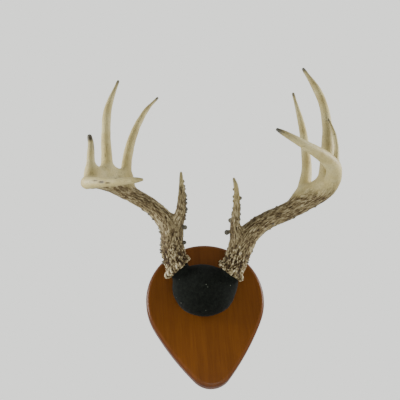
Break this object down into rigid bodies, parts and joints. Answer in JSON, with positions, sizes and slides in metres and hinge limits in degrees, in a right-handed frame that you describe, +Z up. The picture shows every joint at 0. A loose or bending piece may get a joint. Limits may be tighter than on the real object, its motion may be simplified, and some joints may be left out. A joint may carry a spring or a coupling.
{
  "type": "antler mounting plaque",
  "caption": "Egg-shaped stained wooden wall plaque carrying a pair of branched deer antlers on a dark felt-covered skull plate.",
  "frame": {"origin": "on the board's flat back, at the centre of its round top", "axes": "+X to the viewer's right, +Y into the wall, +Z up; the antlers reach out along -Y"},
  "size_m": [0.4383, 0.2678, 0.5569],
  "materials": {
    "stained_wood": "satin brown stain",
    "dark_felt": "matte green-black felt",
    "antler_bone": "cream bone with brown ridged bases"
  },
  "bodies": {
    "root": {"plaque": "stained_wood", "skull_cover": "dark_felt", "left_antler": "antler_bone", "right_antler": "antler_bone"}
  },
  "joints": []
}
